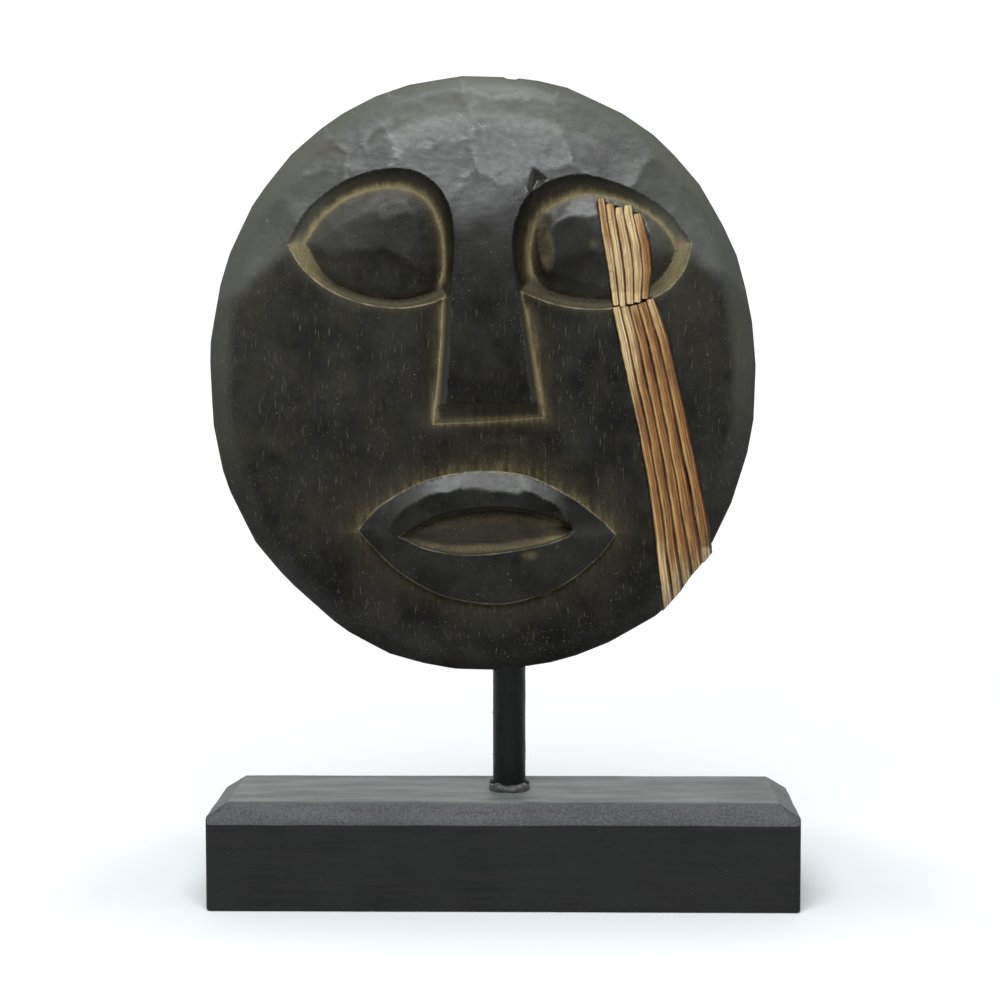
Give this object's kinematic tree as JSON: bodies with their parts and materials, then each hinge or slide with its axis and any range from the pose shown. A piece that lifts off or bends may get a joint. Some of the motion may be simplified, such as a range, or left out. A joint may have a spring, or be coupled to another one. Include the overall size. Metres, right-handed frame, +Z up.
{
  "type": "carved wooden face disc on a stand",
  "caption": "Carved, dark-stained wooden face disc with a strip of natural canes let into one eye and cheek, held upright on a round post in a bevelled plinth as a table decoration.",
  "frame": {"origin": "middle of the plinth's underside, on the surface that it stands on", "axes": "+Z up; +Y from the face towards its flat back, so the face looks along -Y; +X to a viewer's right"},
  "size_m": [0.285, 0.08, 0.4],
  "materials": {
    "carved_wood": "black-brown stain over carved wood, satin, with pale ochre patina rubbed into the cuts and fine dust in the grain",
    "plinth_wood": "black stain over open-pored wood, satin, worn a little paler along the bevels",
    "post_wood": "black paint over a wooden dowel, satin, slightly lumpy",
    "cane": "raw split cane, straw yellow with orange-brown and dark streaks, matt to satin",
    "glue": "dried glue under black paint, glossy in spots",
    "screw_steel": "zinc-plated steel"
  },
  "bodies": {
    "root": {"carved_mask": "carved_wood", "post": "post_wood", "plinth": "plinth_wood", "foot_bead": "glue", "plinth_screw": "screw_steel", "eye_cane_1": "cane", "eye_cane_2": "cane", "eye_cane_3": "cane", "eye_cane_4": "cane", "eye_cane_5": "cane", "cheek_cane_1": "cane", "cheek_cane_2": "cane", "cheek_cane_3": "cane", "cheek_cane_4": "cane", "cheek_cane_5": "cane"}
  },
  "joints": []
}
